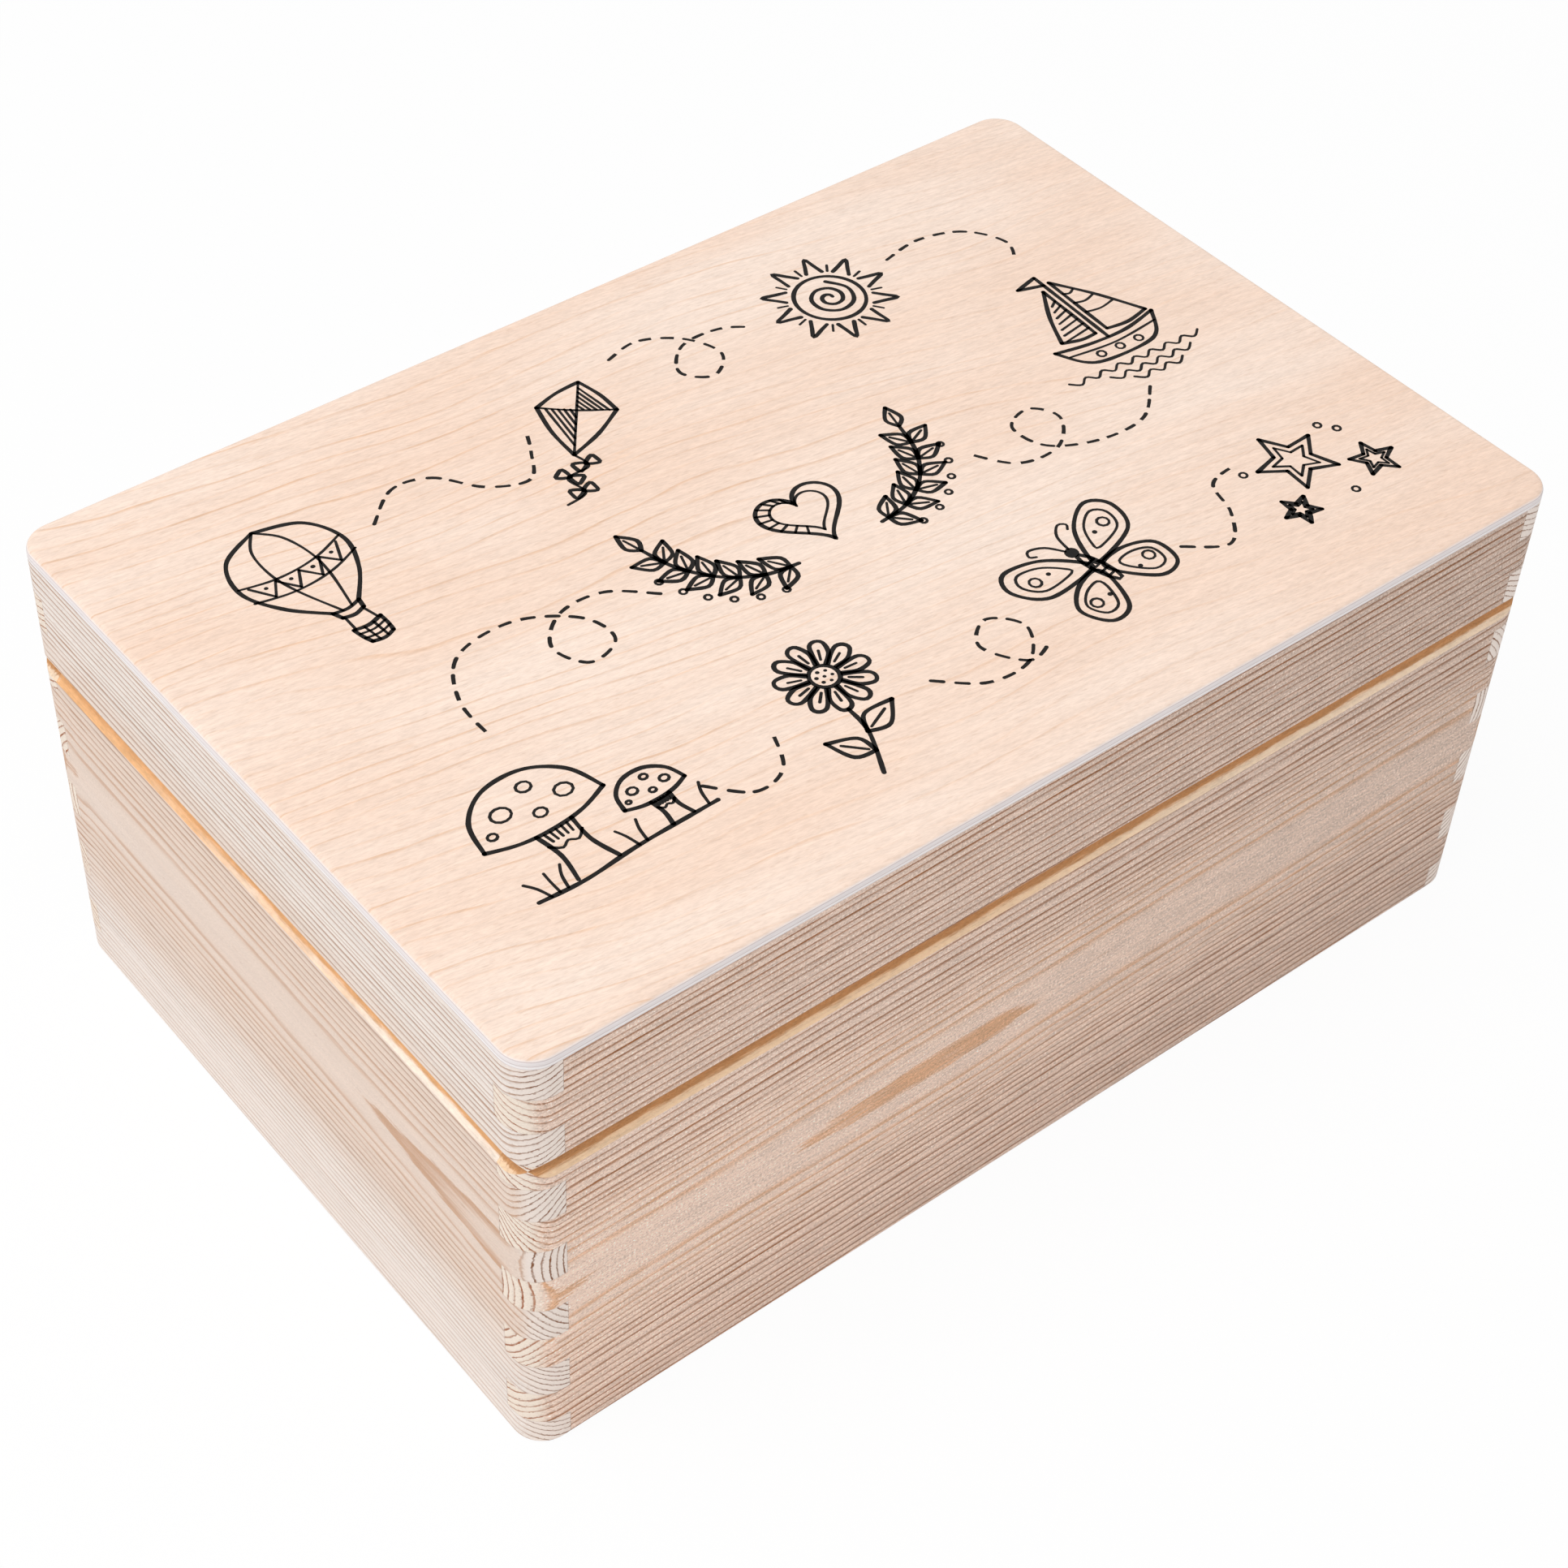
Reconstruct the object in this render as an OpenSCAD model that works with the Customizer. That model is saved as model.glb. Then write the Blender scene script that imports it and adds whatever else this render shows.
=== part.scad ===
/* [Box] */
// Length of the box, along its hinged side
box_w = 300; // [240:2:480]
// Depth of the box, from front to back
box_d = 198; // [140:2:340]
// Height of the base, from the table to the parting line
base_h = 97.6; // [60:0.2:160]
// Height of the lid's frame, from the parting line to the panel
lid_h = 31.8; // [22:0.2:70]
// Radius of the four upright corners
corner_r = 8; // [3:0.5:8.5]
// Radius that eases the base's bottom edge
foot_round = 0.8; // [0.4:0.1:2]

/* [Boards] */
// Thickness of the pine boards
board_t = 10; // [9:0.5:15]
// Height of one finger of the corner joints
finger_h = 10.4; // [6:0.2:18]
// Height of the lowest finger
first_finger_h = 8.2; // [6:0.2:12]
// Height lost to the saw that parts the lid from the base
saw_kerf = 2.6; // [1:0.2:4]

/* [Groove] */
// Height of the groove above and below the parting line
groove_rise = 2.8; // [1.5:0.1:4]
// Depth of the groove at the parting line
groove_depth = 2.4; // [1:0.1:3]

/* [Panels] */
// Thickness of the plywood panel on the lid
panel_t = 3; // [2.5:0.5:6]
// Radius that rounds the panel's upper edge
panel_round = 1.6; // [0.4:0.1:2.2]
// Thickness of the plywood floor
floor_t = 3; // [2:0.5:6]
// Height of the floor's underside above the table
floor_inset = 1; // [0.5:0.5:3]
// Width of the rebate that holds the floor
floor_rebate = 5; // [2:0.5:6]
// Radius of the floor's corners
floor_corner_r = 6; // [3:0.5:12]

/* [Hinges] */
// Distance from the end of the box to the middle of a hinge
hinge_from_end = 60; // [40:1:90]
// Length of a hinge
hinge_len = 30; // [24:1:44]
// Number of knuckles, of which the base has one more than the lid
knuckle_count = 5; // [3:2:7]
// Radius of the knuckles
barrel_r = 2; // [1.6:0.1:2.4]
// Radius of the hinge pin
pin_r = 1; // [0.6:0.1:1.2]
// Thickness of a leaf
leaf_t = 1; // [0.8:0.1:1.4]
// Wood left between a leaf and the inside of the box
leaf_margin = 1; // [0.5:0.1:1.5]
// Distance between the two screws of a leaf
screw_pitch = 18; // [12:1:20]
// Radius of a screw's shank
screw_r = 1; // [0.6:0.1:1.1]
// Radius of a screw's head
screw_head_r = 1.7; // [1.3:0.1:1.8]
// Length of a screw
screw_len = 9; // [6:0.5:14]

/* [Hidden] */
$fn = 48;

// Clearances
glue_gap = 0.1;      // round the edge of the floor
leaf_fit = 0.1;      // round a leaf in its mortise
leaf_gap = 0.1;      // between the two leaves of the closed hinge
knuckle_gap = 0.15;  // between neighbouring knuckles
barrel_gap = 0.3;    // round the knuckles
pin_fit = 0.05;      // round the pin in its bore
screw_fit = 0.05;    // round a screw in its hole
drill_gap = 0.5;     // below a screw's point
overrun = 1;         // by which a cutter passes the face that it cuts

// Finer parts of the hinge
pin_overhang = 0.4;
pin_chamfer = 0.3;
barrel_end_gap = 0.8;
screw_point_h = 1.6;
screw_point_r = 0.2;
screw_cross_w = 0.5;
screw_cross_depth = 0.35;

// Heights
lid_top = base_h + lid_h;
stock_h = lid_top + saw_kerf;
finger_last = ceil((stock_h - first_finger_h) / finger_h);

// Places and sizes that follow
axis_y = box_d / 2 - barrel_r;
hinge_x = box_w / 2 - hinge_from_end;
leaf_w = board_t - barrel_r - leaf_margin;
knuckle_l = hinge_len / knuckle_count;
screw_setback = (barrel_r + leaf_w) / 2;
screw_cross_l = 1.2 * screw_head_r;
floor_w = box_w - 2 * (board_t - floor_rebate);
floor_d = box_d - 2 * (board_t - floor_rebate);

// Colours
side_pine = "#efe3da";
front_pine = "#d8bfae";
panel_birch = "#f8e0cd";
floor_birch = "#ecd6bd";
brass = "#c8a866";
screw_brass = "#b9965a";

// ---- Rounded blocks --------------------------------------------------------

// Half of a slab's cross-section, from its middle out to reach, with a rounded
// upper and lower outer corner, or a sharp one where that radius is zero.
module edge_profile(reach, height, top_round, bottom_round) {
    side_high = height - top_round;
    intersection() {
        square([reach, height]);
        union() {
            square([reach - max(top_round, bottom_round), height]);
            translate([0, bottom_round])
                square([reach, side_high - bottom_round]);
            if (top_round > 0)
                translate([reach - top_round, side_high])
                    circle(r = top_round);
            if (bottom_round > 0)
                translate([reach - bottom_round, bottom_round])
                    circle(r = bottom_round);
        }
    }
}

// A length of slab along X, with the same profile on both long edges.
module slab_run(length, reach, height, top_round, bottom_round) {
    rotate([90, 0, 90])
        linear_extrude(height = length, center = true) {
            edge_profile(reach, height, top_round, bottom_round);
            mirror([1, 0])
                edge_profile(reach, height, top_round, bottom_round);
        }
}

// A slab with upright corners of radius r, centred on the origin, bottom on z = 0.
module rounded_slab(width, depth, height, r, top_round = 0, bottom_round = 0) {
    slab_run(width - 2 * r, depth / 2, height, top_round, bottom_round);
    rotate([0, 0, 90])
        slab_run(depth - 2 * r, width / 2, height, top_round, bottom_round);
    for (x = [-1, 1])
        for (y = [-1, 1])
            translate([x * (width / 2 - r), y * (depth / 2 - r), 0])
                rotate_extrude()
                    edge_profile(r, height, top_round, bottom_round);
}

// ---- Finger joints ---------------------------------------------------------

// The corners are jointed and glued while the box is one tall carcass. Heights
// in that stock include the kerf, which the saw then takes away below the lid.
function finger_bottom(i) = i == 0 ? -overrun : first_finger_h + (i - 1) * finger_h;
function finger_top(i) = first_finger_h + i * finger_h;

// Sockets for the other board's fingers at both ends of a board along X.
// Even fingers belong to the left and right boards, odd ones to front and back.
module finger_sockets(length, first, drop) {
    for (end = [-1, 1])
        for (i = [first : 2 : finger_last])
            translate([end * (length / 2 - board_t / 2 + overrun / 2), 0,
                       (finger_bottom(i) + finger_top(i)) / 2 - drop])
                cube([board_t + overrun, board_t + 2 * overrun,
                      finger_top(i) - finger_bottom(i)], center = true);
}

// One straight board along X, with its sockets, between two heights.
module board_blank(length, first, low, high, drop) {
    difference() {
        translate([-length / 2, -board_t / 2, low])
            cube([length, board_t, high - low]);
        finger_sockets(length, first, drop);
    }
}

module front_blank(low, high, drop) {
    translate([0, -(box_d - board_t) / 2, 0])
        board_blank(box_w, 0, low, high, drop);
}

module left_blank(low, high, drop) {
    translate([-(box_w - board_t) / 2, 0, 0])
        rotate([0, 0, 90])
            board_blank(box_d, 1, low, high, drop);
}

// ---- Groove along the parting line -----------------------------------------

// A V cutter along X whose point lies groove_depth inside the face at y = -reach.
// It runs straight off the ends, so it fades out on the rounded corners.
module groove_cutter(length, reach) {
    mouth = groove_rise * (groove_depth + overrun) / groove_depth;
    translate([-length / 2 - overrun, -reach, base_h])
        rotate([90, 0, 90])
            linear_extrude(height = length + 2 * overrun)
                polygon([[groove_depth, 0], [-overrun, mouth], [-overrun, -mouth]]);
}

module grooves() {
    for (turn = [0, 180])
        rotate([0, 0, turn]) {
            groove_cutter(box_w, box_d / 2);
            rotate([0, 0, 90])
                groove_cutter(box_d, box_w / 2);
        }
}

// ---- Base and lid carcasses ------------------------------------------------

module floor_recess() {
    translate([0, 0, -overrun])
        rounded_slab(floor_w, floor_d, overrun + floor_inset + floor_t, floor_corner_r);
}

// Trims a blank of the base to the box's outline, its rebate and its groove.
module base_board() {
    difference() {
        intersection() {
            children();
            rounded_slab(box_w, box_d, base_h, corner_r, 0, foot_round);
        }
        floor_recess();
        grooves();
    }
}

// Trims a blank of the lid's frame in the same way.
module lid_board() {
    difference() {
        intersection() {
            children();
            translate([0, 0, base_h])
                rounded_slab(box_w, box_d, lid_h, corner_r);
        }
        grooves();
    }
}

module base_front() {
    color(front_pine)
        base_board()
            front_blank(0, base_h, 0);
}

module base_back() {
    color(front_pine)
        difference() {
            base_board()
                mirror([0, 1, 0])
                    front_blank(0, base_h, 0);
            hinge_seats(false);
        }
}

module base_left() {
    color(side_pine)
        base_board()
            left_blank(0, base_h, 0);
}

module base_right() {
    color(side_pine)
        base_board()
            mirror([1, 0, 0])
                left_blank(0, base_h, 0);
}

module base_floor() {
    color(floor_birch)
        translate([0, 0, floor_inset])
            rounded_slab(floor_w - 2 * glue_gap, floor_d - 2 * glue_gap, floor_t,
                         floor_corner_r - glue_gap);
}

module lid_front() {
    color(front_pine)
        lid_board()
            front_blank(base_h, lid_top, saw_kerf);
}

module lid_back() {
    color(front_pine)
        difference() {
            lid_board()
                mirror([0, 1, 0])
                    front_blank(base_h, lid_top, saw_kerf);
            hinge_seats(true);
        }
}

module lid_left() {
    color(side_pine)
        lid_board()
            left_blank(base_h, lid_top, saw_kerf);
}

module lid_right() {
    color(side_pine)
        lid_board()
            mirror([1, 0, 0])
                left_blank(base_h, lid_top, saw_kerf);
}

module lid_panel() {
    color(panel_birch)
        translate([0, 0, lid_top])
            rounded_slab(box_w, box_d, panel_t, corner_r, panel_round);
}

// ---- Hinges ----------------------------------------------------------------

// Moves to a hinge's axis, with the wood that it is let into below it.
// For the lid the whole side is turned over.
module hinge_place(side, on_lid) {
    translate([side * hinge_x, axis_y, base_h])
        mirror([0, 0, on_lid ? 1 : 0])
            children();
}

module along_axis(length, r) {
    rotate([0, 90, 0])
        cylinder(h = length, r = r, center = true);
}

module screw_places() {
    for (x = [-1, 1])
        translate([x * screw_pitch / 2, -screw_setback, -leaf_gap / 2])
            children();
}

// A countersunk screw with its head's face on z = 0, grown by fit all round.
module screw_solid(fit, depth) {
    rotate_extrude()
        polygon([[0, 0],
                 [screw_head_r + fit, 0],
                 [screw_r + fit, screw_r - screw_head_r],
                 [screw_r + fit, screw_point_h - depth],
                 [screw_point_r + fit, -depth],
                 [0, -depth]]);
}

// The hole for such a screw, open above the head.
module screw_hole(depth) {
    screw_solid(screw_fit, depth);
    cylinder(h = overrun, r = screw_head_r + screw_fit);
}

// The wood cut away for one side of both hinges: the channel of the knuckles,
// the leaf's mortise and the screws' pilot holes.
module hinge_seats(on_lid) {
    for (side = [-1, 1])
        hinge_place(side, on_lid) {
            along_axis(hinge_len + 2 * barrel_end_gap, barrel_r + barrel_gap);
            translate([-hinge_len / 2 - leaf_fit, -leaf_w - leaf_fit, -leaf_gap / 2 - leaf_t])
                cube([hinge_len + 2 * leaf_fit, leaf_w + leaf_fit, leaf_t + overrun]);
            screw_places()
                screw_hole(screw_len + drill_gap);
        }
}

// The knuckle cells that one leaf holds: the even ones are the base's.
module knuckle_cells(first, length, r) {
    for (i = [first : 2 : knuckle_count - 1])
        translate([(i + 0.5) * knuckle_l - hinge_len / 2, 0, 0])
            along_axis(length, r);
}

// One leaf with its knuckles, seen as the lower one. The other leaf's knuckles
// turn in notches in its edge.
module leaf(first) {
    difference() {
        union() {
            translate([-hinge_len / 2, -leaf_w, -leaf_gap / 2 - leaf_t])
                cube([hinge_len, leaf_w, leaf_t]);
            knuckle_cells(first, knuckle_l - knuckle_gap, barrel_r);
        }
        knuckle_cells(1 - first, knuckle_l + knuckle_gap, barrel_r + barrel_gap);
        along_axis(hinge_len + 2 * overrun, pin_r + pin_fit);
        screw_places()
            screw_hole(screw_len);
    }
}

module hinge_leaf(side, on_lid) {
    color(brass)
        hinge_place(side, on_lid)
            leaf(on_lid ? 1 : 0);
}

module hinge_pin(side) {
    half_l = hinge_len / 2 + pin_overhang;
    color(brass)
        hinge_place(side, false)
            rotate([0, 90, 0])
                rotate_extrude()
                    polygon([[0, -half_l],
                             [pin_r - pin_chamfer, -half_l],
                             [pin_r, pin_chamfer - half_l],
                             [pin_r, half_l - pin_chamfer],
                             [pin_r - pin_chamfer, half_l],
                             [0, half_l]]);
}

// The two countersunk screws of one leaf, sunk just below its face.
module hinge_screws(side, on_lid) {
    color(screw_brass)
        hinge_place(side, on_lid)
            screw_places()
                translate([0, 0, -screw_fit])
                    difference() {
                        screw_solid(0, screw_len);
                        for (turn = [0, 90])
                            rotate([0, 0, turn])
                                cube([screw_cross_l, screw_cross_w, 2 * screw_cross_depth],
                                     center = true);
                    }
}

// ---- Nodes -----------------------------------------------------------------

base_front();
base_back();
base_left();
base_right();
base_floor();
lid_front();
lid_back();
lid_left();
lid_right();
lid_panel();
hinge_leaf(-1, false);  // hinge_left_base_leaf
hinge_leaf(-1, true);  // hinge_left_lid_leaf
hinge_pin(-1);  // hinge_left_pin
hinge_screws(-1, false);  // hinge_left_base_screws
hinge_screws(-1, true);  // hinge_left_lid_screws
hinge_leaf(1, false);  // hinge_right_base_leaf
hinge_leaf(1, true);  // hinge_right_lid_leaf
hinge_pin(1);  // hinge_right_pin
hinge_screws(1, false);  // hinge_right_base_screws
hinge_screws(1, true);  // hinge_right_lid_screws
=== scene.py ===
"""Looks of a finger-jointed pine keepsake box with a printed plywood lid."""

import logging
import math
import random
from dataclasses import dataclass, field, replace
from enum import Enum
from functools import partialmethod
from typing import Callable, Optional, Union

import bmesh
import bpy
from mathutils import Matrix, Vector


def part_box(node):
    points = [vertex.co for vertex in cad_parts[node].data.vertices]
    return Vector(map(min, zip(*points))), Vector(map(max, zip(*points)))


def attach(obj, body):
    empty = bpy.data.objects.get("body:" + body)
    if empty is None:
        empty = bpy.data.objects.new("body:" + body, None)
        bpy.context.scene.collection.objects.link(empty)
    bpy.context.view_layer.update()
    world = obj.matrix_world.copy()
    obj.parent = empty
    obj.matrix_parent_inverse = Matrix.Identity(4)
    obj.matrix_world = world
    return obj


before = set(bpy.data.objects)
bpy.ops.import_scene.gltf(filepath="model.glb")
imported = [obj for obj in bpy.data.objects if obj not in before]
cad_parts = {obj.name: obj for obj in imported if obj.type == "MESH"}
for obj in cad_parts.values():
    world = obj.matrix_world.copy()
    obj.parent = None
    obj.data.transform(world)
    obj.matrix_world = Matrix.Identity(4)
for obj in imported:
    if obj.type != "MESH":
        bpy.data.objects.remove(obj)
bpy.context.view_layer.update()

log = logging.getLogger("keepsake_box")

MM = 0.001
PEN_STEP = 1.1
Point = tuple[float, float]
Colour = str
Operand = Union["Signal", float]
Paint = Union[Colour, bpy.types.NodeSocket]
Inputs = dict[Union[str, int], Union[Operand, Paint, tuple[float, ...]]]
LATE_WOOD = (0.6, 0.86, 0.95, 1.0)
SUMMER_WOOD = (0.3, 0.88, 0.93, 1.0)
WORN_BELOW = (50.0, 8.0)
LID_FROM = (95.0, 105.0)
SAPWOOD_RADIUS = (34.0, 60.0)
GRAIN_SLANT = 0.13
LINE_PITCH = 4.4
DASH_STEP = 0.4
ROUND_END = (0.98, 0.2), (0.78, 0.63), (0.42, 0.91)


def linear_rgb(colour: Colour) -> tuple[float, float, float, float]:
    """Turn a colour as it is seen into the linear values that a shader takes.

    Args:
        colour: Six hexadecimal digits after a hash sign.

    Returns:
        Red, green, blue and full opacity, linear.
    """
    def linear(share: float) -> float:
        """One channel, from 0 to 1."""
        return share / 12.92 if share <= 0.04045 else ((share + 0.055) / 1.055) ** 2.4

    red, green, blue = (linear(int(colour[i:i + 2], 16) / 255) for i in (1, 3, 5))
    return red, green, blue, 1.0



# ---- Node trees ----------------------------------------------------------------


@dataclass(frozen=True)
class Signal:
    """A number that varies over a surface, with the arithmetic of the finishes."""

    graph: "Graph"
    socket: bpy.types.NodeSocket

    def work(self, operation: str, *others: Operand) -> "Signal":
        """Do one operation of the Math node, with this number as its first."""
        return self.graph.math(operation, self, *others)

    def __rsub__(self, other: float) -> "Signal":
        """Difference from a plain number."""
        return self.graph.math("SUBTRACT", other, self)

    __add__ = __radd__ = partialmethod(work, "ADD")
    __sub__ = partialmethod(work, "SUBTRACT")
    __mul__ = __rmul__ = partialmethod(work, "MULTIPLY")
    __truediv__ = partialmethod(work, "DIVIDE")
    abs = partialmethod(work, "ABSOLUTE")
    fract = partialmethod(work, "FRACT")
    floor = partialmethod(work, "FLOOR")
    sqrt = partialmethod(work, "SQRT")
    least = partialmethod(work, "MINIMUM")
    most = partialmethod(work, "MAXIMUM")

    def rise(self, low: float, high: float) -> "Signal":
        """Climb smoothly from 0 at low to 1 at high.

        Args:
            low: Where the climb starts. It may lie above high, for a fall.
            high: Where the climb ends.

        Returns:
            The share climbed, from 0 to 1.
        """
        falls = low > high
        node = self.graph.node("MapRange", {
            "Value": self, "From Min": min(low, high), "From Max": max(low, high),
            "To Min": float(falls), "To Max": float(not falls)},
            interpolation_type="SMOOTHSTEP")
        return Signal(self.graph, node.outputs["Result"])

    def hill(self, start: float, top: float, back: float, end: float) -> "Signal":
        """Climb from start to top, stay, and fall from back to end."""
        return self.rise(start, top) * self.rise(end, back)


class Graph:
    """A node tree that is written as arithmetic."""

    def __init__(self, tree: bpy.types.NodeTree) -> None:
        """Take the tree that the nodes go into."""
        self.tree = tree

    def node(self, kind: str, inputs: Optional[Inputs] = None,
             **settings: str) -> bpy.types.Node:
        """Add a shader node.

        Args:
            kind: Its type, without the ShaderNode that all of them start with.
            inputs: What its sockets are given.
            settings: Its other properties.

        Returns:
            The node.
        """
        node = self.tree.nodes.new(f"ShaderNode{kind}")
        for name, value in settings.items():
            setattr(node, name, value)
        self.feed(node, inputs or {})
        return node

    def feed(self, node: bpy.types.Node, inputs: Inputs) -> None:
        """Give a node's sockets a signal, another socket, a colour or a number each.

        Args:
            node: The node.
            inputs: What each socket is given, by the socket's name or number.
        """
        for name, value in inputs.items():
            source = value.socket if isinstance(value, Signal) else value
            if isinstance(source, bpy.types.NodeSocket):
                self.tree.links.new(source, node.inputs[name])
            else:
                plain = linear_rgb(source) if isinstance(source, Colour) else source
                node.inputs[name].default_value = plain

    def math(self, operation: str, *values: Operand) -> Signal:
        """Work out one number from one or two others."""
        node = self.node("Math", dict(enumerate(values)), operation=operation)
        return Signal(self, node.outputs[0])

    def split(self, source: bpy.types.NodeSocket, scale: float) -> list[Signal]:
        """Take a vector apart, with each part multiplied by the scale."""
        node = self.node("SeparateXYZ", {0: source})
        return [Signal(self, out) * scale for out in node.outputs]

    def place(self) -> list[Signal]:
        """The point on the object, in millimetres of the box's own frame."""
        return self.split(self.node("TexCoord").outputs["Object"], 1 / MM)

    def facing(self) -> list[Signal]:
        """The outward direction of the surface in the box's own frame."""
        return self.split(self.node("TexCoord").outputs["Normal"], 1.0)

    def noise(self, parts: list[Operand], detail: float = 2.0,
              roughness: float = 0.5) -> Signal:
        """Smooth chance variation.

        Args:
            parts: The three coordinates, already scaled to the noise's grain.
            detail: How many finer layers it has.
            roughness: How strong the finer layers are.

        Returns:
            A signal round 0 that seldom leaves -1 to 1.
        """
        vector = self.node("CombineXYZ", dict(enumerate(parts))).outputs[0]
        node = self.node("TexNoise", {"Vector": vector, "Scale": 1.0, "Detail": detail,
                                      "Roughness": roughness})
        return (Signal(self, node.outputs[0]) - 0.5) * 2.0

    def chance(self, number: Signal) -> Signal:
        """A chance value from 0 to 1 that is the same for the same number."""
        node = self.node("TexWhiteNoise", {"W": number}, noise_dimensions="1D")
        return Signal(self, node.outputs["Value"])

    def lay(self, under: Paint, over: Paint, share: Signal) -> bpy.types.NodeSocket:
        """Lay one colour over another, with that share of it showing."""
        node = self.node("Mix", {0: share, 6: under, 7: over}, data_type="RGBA")
        return node.outputs[2]

    def shade(self, colour: Paint, level: Signal) -> bpy.types.NodeSocket:
        """Make a colour lighter or darker, where a level of 1 leaves it as it is."""
        node = self.node("VectorMath", {0: colour, "Scale": level}, operation="SCALE")
        return node.outputs[0]


class MaterialGraph(Graph):
    """One material's node tree, which ends in a principled shader."""

    def __init__(self, name: str, colour: Paint = "#ffffff") -> None:
        """Start a material.

        Args:
            name: Its name.
            colour: What the other colours are laid over.
        """
        self.colour = colour
        self.material = bpy.data.materials.new(name)
        self.material.use_nodes = True
        super().__init__(self.material.node_tree)
        self.tree.nodes.clear()
        self.shader = self.node("BsdfPrincipled")
        self.output = self.node("OutputMaterial", {"Surface": self.shader.outputs["BSDF"]})

    def cover(self, over: Paint, share: Signal) -> None:
        """Lay a colour over what the surface shows so far."""
        self.colour = self.lay(self.colour, over, share)

    def finish(self, roughness: Signal, height: Signal, depth_mm: float,
               specular: float = 0.5, metallic: float = 0.0) -> bpy.types.Material:
        """Wire the shader up.

        Args:
            roughness: How dull it is, from 0 to 1.
            height: The relief, where 1 stands depth_mm above 0.
            depth_mm: The relief's size.
            specular: The shader's specular level.
            metallic: The shader's metallic value.

        Returns:
            The finished material.
        """
        bump = self.node("Bump", {"Distance": depth_mm * MM, "Height": height})
        self.feed(self.shader, {
            "Base Color": self.colour, "Roughness": roughness, "Metallic": metallic,
            "Specular IOR Level": specular, "Normal": bump.outputs["Normal"]})
        return self.material


def wear(node: str, material: bpy.types.Material) -> None:
    """Give a piece of the frame a finish.

    Args:
        node: The piece's name in the frame.
        material: Its finish.
    """
    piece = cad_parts[node]
    piece.data.materials.clear()
    piece.data.materials.append(material)
    log.info("%s wears %s", node, material.name)


# ---- The box's own sizes ---------------------------------------------------------


class Side(Enum):
    """The four sides of the carcass."""

    FRONT = "front"
    BACK = "back"
    LEFT = "left"
    RIGHT = "right"


class Half(Enum):
    """The two halves that the carcass was sawn into."""

    BASE = "base"
    LID = "lid"


@dataclass(frozen=True)
class BoxSizes:
    """Sizes of the carcass, in millimetres, read from the frame where it has them.

    The parting is the height of the parting line, and the board is a pine board's
    thickness.
    """

    first_finger: float = 8.2
    finger: float = 10.4
    saw_kerf: float = 2.6
    groove_rise: float = 2.8
    half_width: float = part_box("lid_panel")[1].x / MM
    half_depth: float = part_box("lid_panel")[1].y / MM
    panel_top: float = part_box("lid_panel")[1].z / MM
    parting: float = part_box("base_front")[1].z / MM
    board: float = (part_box("base_front")[1].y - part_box("base_front")[0].y) / MM


@dataclass(frozen=True)
class Rings:
    """What the year rings show at a surface point, each from 0 to 1."""

    line: Signal
    soft: Signal
    flat: Signal
    outer: Signal


# ---- Finishes ----------------------------------------------------------------------


@dataclass(frozen=True)
class Flame:
    """Where an inner ring breaks through the face, in millimetres along the board."""

    start: float
    top: float
    back: float
    end: float
    rise: float


@dataclass(frozen=True)
class Grain:
    """How a board was cut from its log, in millimetres.

    The pith lies behind the outer face. A ring is one year's growth, and phase shifts
    the years so that the face shows the right part of its innermost ring. Lean years
    put a number of thinner rings next to that one.
    """

    pith_depth: float
    pith_height: float
    ring: float
    phase: float
    lean_years: float
    height_drift: float
    wander: float
    wave: float
    flames: tuple[Flame, ...]
    seed: float


@dataclass(frozen=True)
class PineFinish:
    """Sanded pine with its year rings running right through the board."""

    name: str
    grain: Grain
    sap: Colour
    heart: Colour
    late: Colour
    flame: Colour
    end: Colour
    end_line: Colour
    tear: Colour
    groove_near: Colour
    groove_far: Colour
    # The groove's real streaks, and its painted shade near the seam.
    groove_streaks_and_shade: Colour
    # Near-white of raised fibres: partly their own pale colour, partly painted glint.
    fuzz_and_glint: Colour
    contrast: float
    grit: float
    relief: float
    worn: float
    lid_drop: float
    # Painted shade: how fast the board darkens along its length, standing in for light falling
    # off across the face.
    painted_shade_drift: float


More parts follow.
